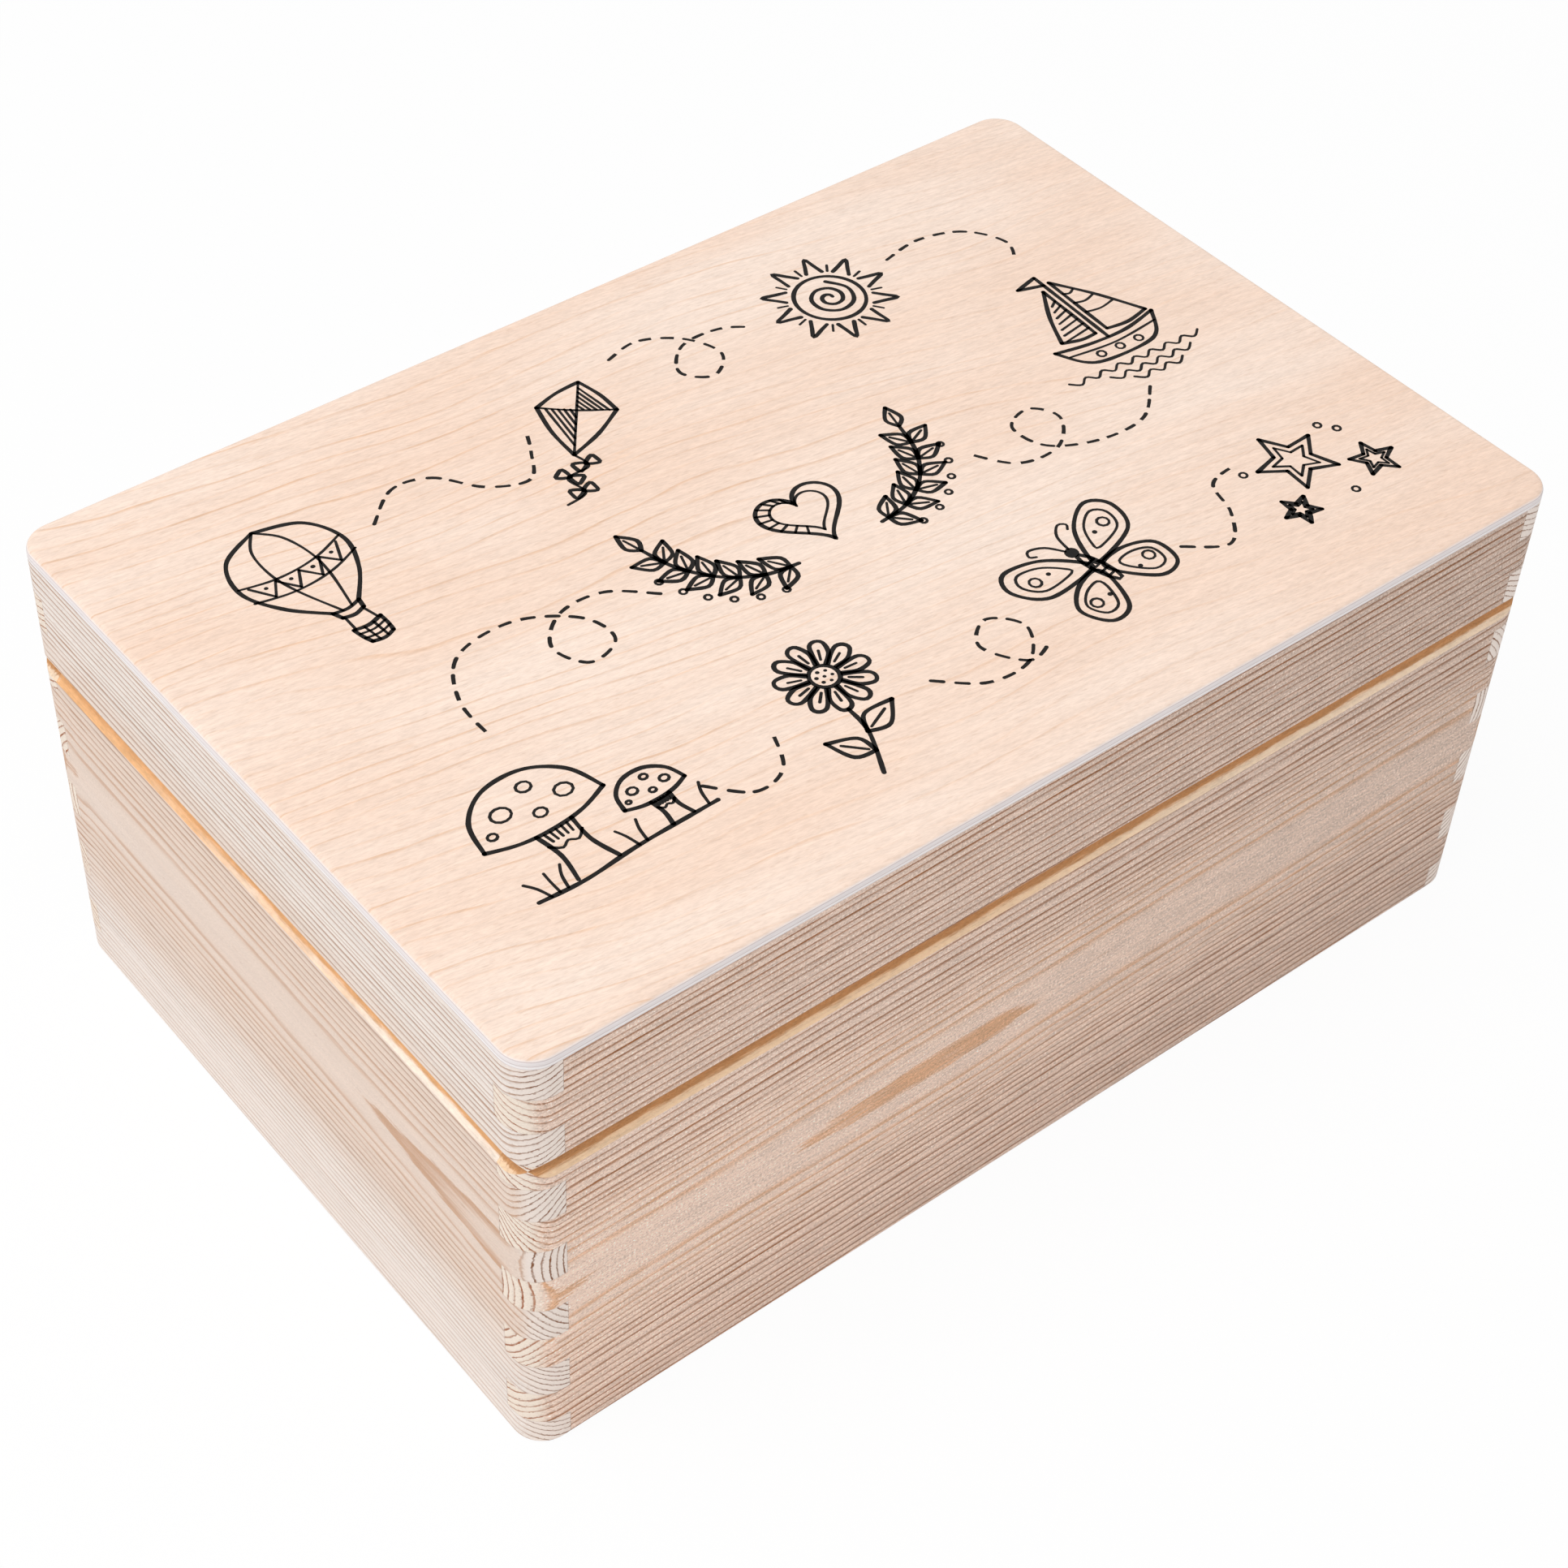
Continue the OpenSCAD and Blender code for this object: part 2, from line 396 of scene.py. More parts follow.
class PineBoard(MaterialGraph):
    """The surface of one pine board, as it lay in the carcass before the saw."""

    def __init__(self, wood: PineFinish, side: Side, half: Half, sizes: BoxSizes) -> None:
        """Find the surface point in the board.

        Args:
            wood: The board's finish.
            side: The side of the box that it stands on.
            half: The half that it belongs to.
            sizes: The carcass's sizes.
        """
        super().__init__(f"{wood.name}_{half.value}_{side.value}", wood.heart)
        self.wood, self.sizes = wood, sizes
        self.long_side = side in (Side.FRONT, Side.BACK)
        kerf = sizes.saw_kerf if half is Half.LID else 0.0
        x, y, z = self.place()
        self.along, self.depth = {
            Side.FRONT: (x, y + sizes.half_depth),
            Side.BACK: (x * -1.0, sizes.half_depth - y),
            Side.LEFT: (y * -1.0, x + sizes.half_width),
            Side.RIGHT: (y, sizes.half_width - x),
        }[side]
        self.height, self.parting = z + kerf, sizes.parting + kerf
        nx, ny, nz = self.facing()
        self.end_facing = (nx if self.long_side else ny).abs()
        self.up_facing = nz.abs()

    def speckle(self, along: float, across: float, detail: float = 2.0,
                roughness: float = 0.5) -> Signal:
        """Smooth chance variation in the board.

        Args:
            along: Its scale along the fibres, per millimetre.
            across: Its scale across them.
            detail: How many finer layers it has.
            roughness: How strong the finer layers are.

        Returns:
            A signal round 0.
        """
        return self.noise([self.along * along, self.depth * across,
                           self.height * across + self.wood.grain.seed], detail, roughness)

    def dress(self) -> bpy.types.Material:
        """Make the board's own material.

        Returns:
            The material.
        """
        grit = self.speckle(1.5, 2.1, 1.5, 0.8)
        rings = self.rings(grit)
        fibre = self.noise([self.along * 0.12, self.depth * 1.5 + self.wood.grain.seed,
                            self.height * 1.5], 3.0, 0.7)
        self.lay_face(rings, fibre, grit)
        self.lay_ends(rings)
        self.lay_groove()
        chip = self.lay_joints()
        height = grit * 0.7 + fibre * 0.06 - rings.line * 0.02 - chip * 1.2
        return self.finish(0.62 + fibre * 0.12, height, self.wood.relief, specular=0.25)

    def rings(self, grit: Signal) -> Rings:
        """Work out the year rings.

        Args:
            grit: The roughness left by the sander, which frays the lines.

        Returns:
            What the rings show at the surface point.
        """
        grain = self.wood.grain
        slow, slow_up = (self.noise([self.along * 0.006, grain.seed, lift], 1.0)
                         for lift in (0.0, 7.3))
        pith_depth = grain.pith_depth + slow * grain.wander
        for flame in grain.flames:
            pith_depth = pith_depth - flame.rise * self.along.hill(
                flame.start, flame.top, flame.back, flame.end)
        pith_height = (grain.pith_height + self.along * grain.height_drift
                       + slow_up * (4.0 * grain.wander))
        inward = pith_depth - self.depth
        upward = self.height - pith_height
        radius = (inward * inward + upward * upward).sqrt()
        wave = self.noise([self.along * 0.009, self.depth * 0.05 + grain.seed,
                           self.height * 0.05], 2.0)
        radius = (radius + wave * grain.wave + self.speckle(0.04, 0.25) * 0.1 + grit * 0.05
                  + self.speckle(0.05, 1.2, 3.0, 0.6) * 0.35)
        beyond = (radius - grain.pith_depth).rise(0.6, 11.0)
        turn = radius / grain.ring + beyond * grain.lean_years
        uneven = self.noise([turn * 0.37, grain.seed, 1.7], 2.0, 0.7) * 0.7
        year = turn + grain.phase + uneven * beyond
        strength = 0.65 + self.chance(year.floor()) * 0.35
        return Rings(line=year.fract().hill(*LATE_WOOD) * strength,
                     soft=year.fract().hill(*SUMMER_WOOD) * strength,
                     flat=(inward.abs() / radius).rise(0.72, 0.98),
                     outer=radius.rise(*SAPWOOD_RADIUS))

    def lay_face(self, rings: Rings, fibre: Signal, grit: Signal) -> None:
        """Colour the long grain.

        Args:
            rings: The year rings.
            fibre: The fine fibres.
            grit: The roughness left by the sander.
        """
        wood = self.wood
        patch = self.noise([self.along * 0.008, self.depth * 0.05 + wood.grain.seed,
                            self.height * 0.07], 3.0)
        self.cover(wood.sap, (rings.outer + patch * 0.55).rise(0.0, 1.0))
        late = self.lay(wood.late, wood.flame, rings.flat)
        broken = self.speckle(0.04, 0.5, 4.0, 0.7).rise(-0.6, 0.05)
        worn = self.height.rise(*WORN_BELOW) * wood.worn
        shown = (1.0 - rings.flat * 0.3) * (1.0 - worn) * wood.contrast
        self.cover(late, rings.soft * shown * 0.24)
        self.cover(late, rings.line * broken.most(rings.flat * 0.45) * shown)
        pores = self.speckle(0.35, 2.6, 1.0).rise(0.32, 0.6)
        self.cover(wood.late, pores * (0.5 * wood.contrast))
        # Raised fibres in near-white: partly the fuzz's own pale colour, partly painted glints
        # where fibres catch the light.
        fuzz_glints = grit.rise(0.15, 0.6) * (1.0 - rings.line * 0.85) * (1.5 * wood.grit)
        self.cover(wood.fuzz_and_glint, fuzz_glints)
        streak = self.speckle(0.015, 0.25, 4.0, 0.7)
        # The along term is painted shade: the board darkens steadily along its length, as light
        # falling off across the face would.
        self.colour = self.shade(
            self.colour, 1.0 + fibre * (0.6 * wood.grit) + grit * wood.grit + streak * 0.10
            - self.along * wood.painted_shade_drift - self.height.rise(*LID_FROM) * wood.lid_drop)

    def lay_ends(self, rings: Rings) -> None:
        """Turn to end grain where the surface cuts the fibres across.

        Args:
            rings: The year rings.
        """
        wood = self.wood
        torn = self.speckle(0.5, 0.6, 3.0).rise(-0.6, 0.3)
        specks = self.noise([self.along * 1.4, self.depth * 1.4,
                             self.height * 2.2 + wood.grain.seed], 2.0).rise(0.15, 0.45)
        end = self.lay(wood.end, wood.end_line, rings.soft * 0.07)
        end = self.lay(end, wood.end_line, rings.line.rise(0.25, 0.95) * (0.5 + torn * 0.5))
        end = self.lay(end, wood.tear, specks * rings.soft.rise(0.2, 0.7))
        end = self.shade(end, 1.0 + self.speckle(2.0, 2.4, 3.0, 0.8) * 0.09)
        self.cover(end, self.end_facing.rise(0.35, 0.75))

    def lay_groove(self) -> None:
        """Leave the groove's freshly cut wood in its own warm colour, with painted shade near the
        seam where the lid's edge hangs over it.
        """
        wood, rise = self.wood, self.sizes.groove_rise
        off = (self.height - self.parting).abs()
        inside = off.rise(rise + 0.1, rise - 0.02) * self.up_facing.hill(0.3, 0.45, 0.9, 0.97)
        drift = self.noise([self.along * 0.04, wood.grain.seed, 5.0], 4.0, 0.6) * 0.7
        tone = self.lay(wood.groove_far, wood.groove_near,
                        (self.along / 130.0 + drift).rise(-0.5, 0.6))
        rays = self.speckle(0.10, 1.3, 4.0, 0.7)
        # Streaks of the cut fibres in the deep colour, which are real.
        tone = self.lay(tone, wood.groove_streaks_and_shade, rays.rise(0.0, 0.6) * 0.25)
        # Painted shade: within about 1.3 to 2 mm of the seam the deep colour takes over, standing
        # in for the shadow of the lid's edge.
        tone = self.lay(wood.groove_streaks_and_shade, tone, (off + rays * 0.9).rise(1.3, 2.0))
        flecks = self.noise([self.along * 0.7, self.depth * 1.2, self.height * 1.2], 2.0)
        self.cover(self.shade(tone, 1.0 + flecks * 0.16 + rays * 0.4), inside)

    def lay_joints(self) -> Signal:
        """Draw the thin glue lines round the fingers, with their small chips.

        Returns:
            How deep a chip goes, from 0 to 1.
        """
        sizes = self.sizes
        half_length = sizes.half_width if self.long_side else sizes.half_depth
        from_shoulder = (half_length - sizes.board) - self.along.abs()
        turn = (self.height - sizes.first_finger) / sizes.finger
        from_edge = (0.5 - (turn.fract() - 0.5).abs()) * sizes.finger
        others_socket = (turn * 0.5).fract().rise(0.5, 0.502 if self.long_side else 0.498)
        ragged = self.speckle(1.1, 1.1, 3.0, 0.7)
        width = 0.05 + ragged.rise(0.1, 0.6) * 0.7
        near_edge, near_inner, near_shoulder = (
            1.0 - (gap / width).least(1.0)
            for gap in (from_edge, (sizes.board - self.depth).abs(), from_shoulder.abs()))
        in_finger = from_shoulder.rise(0.0, -0.05)
        on_end, on_face = self.end_facing.rise(0.8, 0.95), self.end_facing.rise(0.3, 0.1)
        mark = ((near_edge * in_finger * 0.5).most(near_inner * on_end * 0.8)
                .most(near_shoulder * others_socket * on_face * 0.8))
        chip = mark.rise(0.0, 0.8) * (0.35 + ragged.rise(-0.2, 0.5) * 0.65)
        frayed = ragged.rise(0.1, 0.4) * from_shoulder.abs().rise(1.4, 0.2) * others_socket
        # The frayed fibres take the same near-white, partly painted glint.
        self.cover(self.wood.fuzz_and_glint, frayed * on_face * 0.6)
        self.cover(self.wood.end_line, chip * 0.75)
        return chip


@dataclass(frozen=True)
class VeneerFinish:
    """Peeled birch veneer, with broad faint figure and short fine flecks."""

    name: str
    pale: Colour
    warm: Colour
    figure: Colour
    fleck: Colour
    edge_pale: Colour
    edge_dark: Colour
    figure_share: float
    seed: float


class PlySheet(MaterialGraph):
    """The surface of one plywood panel."""

    def __init__(self, veneer: VeneerFinish, bottom: float, top: float) -> None:
        """Find the surface point in the panel.

        Args:
            veneer: The panel's finish.
            bottom: Height of its underside, in millimetres.
            top: Height of its upper face.
        """
        super().__init__(veneer.name, veneer.pale)
        self.veneer = veneer
        self.x, self.y, self.z = self.place()
        self.across = self.y + self.x * GRAIN_SLANT
        self.share = (self.z - bottom) / (top - bottom)

    def figure(self, along: float, across: float, lift: float, detail: float,
               roughness: float = 0.5) -> Signal:
        """Smooth chance variation that follows the veneer's grain.

        Args:
            along: Its scale along the grain, per millimetre.
            across: Its scale across it.
            lift: What keeps it apart from the others.
            detail: How many finer layers it has.
            roughness: How strong the finer layers are.

        Returns:
            A signal round 0.
        """
        return self.noise([self.x * along, self.across * across, self.veneer.seed + lift],
                          detail, roughness)

    def dress(self) -> bpy.types.Material:
        """Make the panel's material.

        Returns:
            The material.
        """
        veneer = self.veneer
        fine = self.noise([self.x * 0.3, self.across * 1.5, self.z * 1.5], 2.0, 0.9)
        flecks = self.figure(0.33, 2.0, 0.0, 1.0, 0.6)
        marked = (self.y - self.x * 0.4).rise(10.0, 120.0)
        stain = self.figure(0.035, 0.2, 5.0, 5.0, 0.7).rise(0.2, 0.75)
        self.cover(veneer.warm, self.figure(0.010, 0.035, 9.0, 3.0).rise(-0.5, 0.5))
        self.cover(veneer.figure, stain * (0.3 + marked * 0.4))
        self.cover(veneer.figure, self.lines() * veneer.figure_share)
        self.cover(veneer.fleck, flecks.rise(0.15, 0.55) * 0.15)
        level = 1.0 + fine * 0.2 + self.figure(0.05, 1.1, 4.0, 3.0, 0.8) * 0.13
        self.colour = self.lay(self.edge_colour(), self.shade(self.colour, level),
                               self.facing()[2].abs().rise(0.35, 0.8))
        return self.finish(0.6 + fine * 0.1, fine * 0.6 - flecks * 0.4, 0.05, specular=0.25)

    def lines(self) -> Signal:
        """Draw the thin wavy lines where the knife crossed the year rings.

        Returns:
            How strongly a line shows.
        """
        broad = self.noise([self.x * 0.0062, self.y * 0.013, self.veneer.seed], 1.5)
        ripple = self.figure(0.02, 0.09, 3.1, 3.0)
        turn = self.across / LINE_PITCH + broad * 5.6 + ripple * 0.5
        strength = 0.3 + self.chance(turn.floor()) * 0.8
        shown = (self.figure(0.009, 0.02, 6.0, 2.0) * 0.8 - self.x / 260.0).rise(-0.6, 0.5)
        broken = self.figure(0.045, 0.35, 8.0, 3.0).rise(-0.5, 0.3)
        return (turn.fract().hill(0.72, 0.88, 0.90, 0.94) * strength * broken
                * (0.3 + shown * 0.7))

    def edge_colour(self) -> bpy.types.NodeSocket:
        """Colour the sawn edge with its three plies.

        Returns:
            The colour's socket.
        """
        pale, dark = self.veneer.edge_pale, self.veneer.edge_dark
        wobble = self.noise([self.x * 0.05, self.y * 0.05, self.veneer.seed], 2.0) * 0.03
        place = self.share + wobble
        core = place.hill(0.28, 0.34, 0.66, 0.72)
        glue = place.hill(0.25, 0.3, 0.32, 0.37).most(place.hill(0.63, 0.68, 0.7, 0.75))
        saw = self.noise([self.x * 0.12, self.y * 0.12, self.z * 3.0], 3.0, 0.8)
        glint = self.noise([self.x * 0.9, self.y * 0.9, self.z * 0.9], 2.0).rise(0.1, 0.35)
        colour = self.lay(pale, dark, core * 0.25)
        colour = self.lay(colour, dark, glue * 0.8)
        colour = self.lay(colour, dark, self.share.rise(0.1, 0.03) * 0.6)
        colour = self.shade(colour, 1.0 + saw * 0.2)
        return self.lay(colour, "#ffffff", self.share.hill(0.08, 0.14, 0.2, 0.3) * glint)


@dataclass(frozen=True)
class BrassFinish:
    """Handled brass, dulled on its faces and brighter where it rubs."""

    name: str
    bright: Colour
    dull: Colour
    tarnish: Colour

    def dress(self) -> bpy.types.Material:
        """Make the finish.

        Returns:
            The material.
        """
        graph = MaterialGraph(self.name, self.bright)
        x, y, z = graph.place()
        cloud = graph.noise([x * 0.35, y * 0.35, z * 0.35], 4.0, 0.6)
        spots = graph.noise([x * 1.7, y * 1.7, z * 1.7], 3.0, 0.7)
        brushed = graph.noise([x * 0.6, y * 9.0, z * 9.0], 2.0, 0.6)
        graph.cover(self.dull, cloud.rise(-0.4, 0.5))
        graph.cover(self.tarnish, spots.rise(0.25, 0.8) * 0.6)
        roughness = 0.30 + cloud.rise(-0.4, 0.6) * 0.15 + spots.rise(0.2, 0.8) * 0.15
        return graph.finish(roughness, brushed * 0.7 + spots * 0.3, 0.012, metallic=1.0)


@dataclass(frozen=True)
class InkFinish:
    """Flat black print that lets a little of the grain through."""

    name: str
    ink: Colour
    thin_ink: Colour

    def dress(self) -> bpy.types.Material:
        """Make the finish.

        Returns:
            The material.
        """
        graph = MaterialGraph(self.name, self.ink)
        x, y, _ = graph.place()
        grainy = graph.noise([x * 0.5, y * 4.5, 2.0], 3.0, 0.6)
        graph.cover(self.thin_ink, grainy.rise(0.1, 0.8))
        return graph.finish(0.7 + grainy * 0.1, grainy, 0.01, specular=0.2)


# ---- Sub-assemblies ---------------------------------------------------------------


PALE_PINE = PineFinish(
    name="pale_pine",
    grain=Grain(pith_depth=31.0, pith_height=66.0, ring=1.6, phase=0.725,
                lean_years=1.0, height_drift=-0.01, wander=0.1, wave=0.5,
                flames=(Flame(24.0, 125.0, 200.0, 300.0, 1.35),
                        Flame(-82.0, -88.0, -200.0, -300.0, 0.25)), seed=4.2),
    sap="#f7ece4", heart="#efdacb", late="#a1621f",
    flame="#bb741a", end="#faece2", end_line="#845026",
    tear="#9a6a4e", groove_near="#fdeedf", groove_far="#f4bf8a",
    groove_streaks_and_shade="#edb781", fuzz_and_glint="#ffffff", contrast=0.78, grit=0.15,
    relief=0.12, worn=0.45, lid_drop=0.0, painted_shade_drift=0.0)

ROSY_PINE = PineFinish(
    name="rosy_pine",
    grain=Grain(pith_depth=30.0, pith_height=55.0, ring=1.9, phase=0.29,
                lean_years=2.6, height_drift=0.012, wander=0.1, wave=0.5,
                flames=(Flame(-100.0, -60.0, -24.0, 6.0, 0.38),
                        Flame(-116.0, -150.0, -200.0, -300.0, 0.32)), seed=11.6),
    sap="#ecd1c0", heart="#efd3c1", late="#955616",
    flame="#d79d6a", end="#fff0e0", end_line="#a85a20",
    tear="#8a4a2c", groove_near="#ffe6ca", groove_far="#ffddb8",
    groove_streaks_and_shade="#d69e6a", fuzz_and_glint="#fffaf5", contrast=1.0, grit=0.7,
    relief=0.25, worn=0.0, lid_drop=0.03, painted_shade_drift=0.0009)

SIDE_FINISHES = {Side.FRONT: ROSY_PINE, Side.BACK: ROSY_PINE,
                 Side.LEFT: PALE_PINE, Side.RIGHT: PALE_PINE}


@dataclass(frozen=True)
class Carcass:
    """The finger-jointed sides of the base and of the lid's frame."""

    sizes: BoxSizes

    def dress(self) -> None:
        """Give each board its finish."""
        for half in Half:
            for side, finish in SIDE_FINISHES.items():
                board = PineBoard(finish, side, half, self.sizes)
                wear(f"{half.value}_{side.value}", board.dress())


@dataclass(frozen=True)
class Panels:
    """The plywood of the lid and of the floor."""

    top_veneer: VeneerFinish = VeneerFinish(
        name="lid_veneer", pale="#fbe6d7", warm="#f7dac6",
        figure="#d99f66", fleck="#b8875c", edge_pale="#fdf7f6",
        edge_dark="#d2c3c2", figure_share=0.5, seed=2.3)
    floor_veneer: VeneerFinish = VeneerFinish(
        name="floor_veneer", pale="#f4e0cb", warm="#edd2b6",
        figure="#cf9a68", fleck="#b98558", edge_pale="#e8d6c4",
        edge_dark="#b9967a", figure_share=0.5, seed=14.8)

    def dress(self) -> None:
        """Give both panels their finish."""
        for node, veneer in (("lid_panel", self.top_veneer),
                             ("base_floor", self.floor_veneer)):
            low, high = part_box(node)
            wear(node, PlySheet(veneer, low.z / MM, high.z / MM).dress())


@dataclass(frozen=True)
class Hinges:
    """The two brass butt hinges with their pins and screws."""

    leaf_brass: BrassFinish = BrassFinish(
        name="hinge_brass", bright="#e6c985", dull="#c9a55f",
        tarnish="#8f6f3c")
    screw_brass: BrassFinish = BrassFinish(
        name="screw_brass", bright="#dcc083", dull="#b8965a",
        tarnish="#7a5f36")

    def dress(self) -> None:
        """Give every part of both hinges its finish."""
        leaf, screw = self.leaf_brass.dress(), self.screw_brass.dress()
        for side in ("left", "right"):
            for part in ("base_leaf", "lid_leaf", "pin"):
                wear(f"hinge_{side}_{part}", leaf)
            for part in ("base_screws", "lid_screws"):
                wear(f"hinge_{side}_{part}", screw)


# ---- The lid's print ---------------------------------------------------------------


def moved(points: list[Point], at: Point, tilt: float = 0.0, size: float = 1.0) -> list[Point]:
    """Scale points, turn them by tilt degrees and set them down at a place."""
    cos, sin = (size * f(math.radians(tilt)) for f in (math.cos, math.sin))
    return [(at[0] + cos * x - sin * y, at[1] + sin * x + cos * y) for x, y in points]


def spline(points: list[Point], closed: bool = False) -> list[Point]:
    """Run a smooth path through a few given points.

    Args:
        points: The points, in millimetres.
        closed: Whether the path returns to the first one.

    Returns:
        Points about PEN_STEP apart.
    """
    count = len(points)
    path = []
    for i in range(count if closed else count - 1):
        four = (i - 1, i, i + 1, i + 2)
        a, b, c, d = (points[k % count if closed else min(max(k, 0), count - 1)] for k in four)
        steps = max(3, math.ceil(math.dist(b, c) / PEN_STEP))
        for t in (j / steps for j in range(steps)):
            path.append(tuple(
                q + 0.5 * t * ((r - p) + t * ((2 * p - 5 * q + 4 * r - s)
                                              + t * (3 * q - p - 3 * r + s)))
                for p, q, r, s in zip(a, b, c, d)))
    return path if closed else path + [points[-1]]


@dataclass(frozen=True)
class Stroke:
    """One inked line: its path and the pen's width, in millimetres.

    The swell and the tremor are shares of the width.
    """

    path: list[Point]
    width: float
    closed: bool = False
    swell: float = 0.09
    tremor: float = 0.04

    def rows(self, chance: random.Random) -> list[tuple[Point, Point]]:
        """Spread the path to the pen's width, with round ends and an unsteady hand.

        Args:
            chance: Where the unsteadiness comes from.

        Returns:
            The left and the right edge point, all along the stroke.
        """
        path, last = self.path, len(self.path) - 1
        rows = []
        phase, beat = chance.uniform(0, 6.3), chance.uniform(0.25, 0.5)
        for i, (x, y) in enumerate(path):
            before = path[i - 1] if i or self.closed else path[i]
            after = path[(i + 1) % len(path)] if i < last or self.closed else path[i]
            dx, dy = after[0] - before[0], after[1] - before[1]
            long = math.hypot(dx, dy) or 1.0
            dx, dy = dx / long, dy / long
            half = self.width / 2 * (1 + self.swell * math.sin(phase + i * beat)
                                     + chance.uniform(-self.tremor, self.tremor))
            ends = [] if self.closed else [0] * (i == 0) + [1] * (i == last)
            caps = [(forward * half * way, half * share)
                    for end in ends for way in ((-1, 1)[end],)
                    for forward, share in ROUND_END[::(1, -1)[end]]]
            steps = caps + [(0, half)] if 0 in ends else [(0, half)] + caps
            for ahead, side in steps:
                cx, cy = x + dx * ahead, y + dy * ahead
                rows.append(((cx - dy * side, cy + dx * side), (cx + dy * side, cy - dx * side)))
        return rows


@dataclass
class Sheet:
    """A motif under the pen, in millimetres round its own middle."""

    bold: float = 1.12
    fine: float = 0.72
    dash: float = 0.92
    strokes: list[Stroke] = field(default_factory=list)

    def curve(self, points: list[Point], width: float = 0.0, closed: bool = False) -> None:
        """Draw smoothly through the points, with the bold pen unless a width is given."""
        self.strokes.append(Stroke(spline(points, closed), width or self.bold, closed))

    def thin(self, points: list[Point]) -> None:
        """Draw smoothly through the points with the fine pen."""
        self.curve(points, self.fine)

    def both(self, points: list[Point], width: float = 0.0, closed: bool = False) -> None:
        """Draw a curve and its mirror image on the left."""
        self.curve(points, width, closed)
        self.curve([(-x, y) for x, y in points], width, closed)

    def lines(self, points: list[Point], width: float = 0.0) -> None:
        """Draw straight from each point to the next."""
        for start, end in zip(points, points[1:]):
            self.curve([start, end], width)

    def oval(self, centre: Point, radius: float, squash: float = 1.0, tilt: float = 0.0,
             width: float = 0.0) -> None:
        """Draw a circle or an oval.

        Args:
            centre: Its middle.
            radius: Half its width.
            squash: Its height as a share of its width.
            tilt: Its turn, in degrees.
            width: The pen's width, or 0 for the fine pen.
        """
        steps = max(10, round(5 * radius))
        turns = (2 * math.pi * k / steps for k in range(steps))
        ring = [(radius * math.cos(t), radius * squash * math.sin(t)) for t in turns]
        self.strokes.append(Stroke(moved(ring, centre, tilt), width or self.fine, True))

    def dot(self, centre: Point, radius: float) -> None:
        """Set down a full round dot."""
        x, y = centre
        self.strokes.append(Stroke([(x - 0.05, y), (x + 0.05, y)], 2 * radius))

    def leaf(self, at: Point, tilt: float, length: float, plump: float = 0.27) -> None:
        """Draw a pointed leaf with its midrib.

        Args:
            at: Where its stalk ends.
            tilt: Which way it points, in degrees.
            length: Its length.
            plump: Half its width as a share of its length.
        """
        wide = length * plump
        edge = [(0, 0), (length * 0.4, wide), (length, 0)]
        for side in (1, -1):
            self.curve(moved([(x, side * y) for x, y in edge], at, tilt))
        self.curve(moved([(length * 0.15, 0), (length * 0.7, 0)], at, tilt), self.fine)

    def dashes(self, points: list[Point], long: float = 3.1, gap: float = 2.3) -> None:
        """Draw a dashed trail through the points.

        Args:
            points: The given points of the trail.
            long: Length of a dash.
            gap: Length of the gap after it.
        """
        path = spline(points)
        reach, piece = 0.0, [path[0]]
        for start, end in zip(path, path[1:]):
            parts = max(1, math.ceil(math.dist(start, end) / DASH_STEP))
            for k in range(1, parts + 1):
                spot = tuple(a + (b - a) * k / parts for a, b in zip(start, end))
                reach += math.dist(start, end) / parts
                if reach <= long:
                    piece.append(spot)
                elif piece:
                    self.strokes.append(Stroke(piece[::2] + piece[-1:], self.dash))
                    piece = []
                if reach >= long + gap:
                    reach, piece = 0.0, [spot]


def draw_balloon(pen: Sheet) -> None:
    """Draw a hot-air balloon with a zigzag band and a woven basket.

    Args:
        pen: The sheet that it is drawn on.
    """
    pen.both([(4.2, -14), (12.5, -4), (17, 8), (12.5, 20), (0, 25.5)])
    pen.both([(1.5, -14.6), (5.4, -1), (6.6, 9), (4.9, 19), (0, 25.5)], pen.fine)
    sag, pitch = 78, 3.6
    for rise in (-1.0, 6.0):
        pen.thin([(x, rise + x * x / sag) for x in (-16.6, -8, 0, 8, 16.6)])
    zigzag = [(pitch * k, (5.4, -0.4)[k % 2] + (pitch * k) ** 2 / sag) for k in range(-4, 5)]
    pen.lines(zigzag, pen.fine)
    for k in (-3, -1, 1, 3):
        pen.dot((pitch * k, 3.9 + (pitch * k) ** 2 / sag), 0.55)
    for low, half in ((-14, 4.2), (-17, 3.4), (-22.5, 4.4), (-29, 3.4)):
        pen.curve([(-half, low), (0, low - 0.9), (half, low)])
    pen.both([(4.2, -14), (3.4, -17)])
    pen.both([(3.0, -17.4), (3.7, -22.5)], pen.fine)
    pen.both([(4.4, -22.5), (4.1, -26), (3.4, -29)])
    for low in (-24.7, -26.8):
        pen.thin([(-4.1, low), (0, low - 0.8), (4.1, low)])
    for x in (-1.5, 1.5):
        pen.thin([(x, -23.4), (x * 0.85, -29.6)])


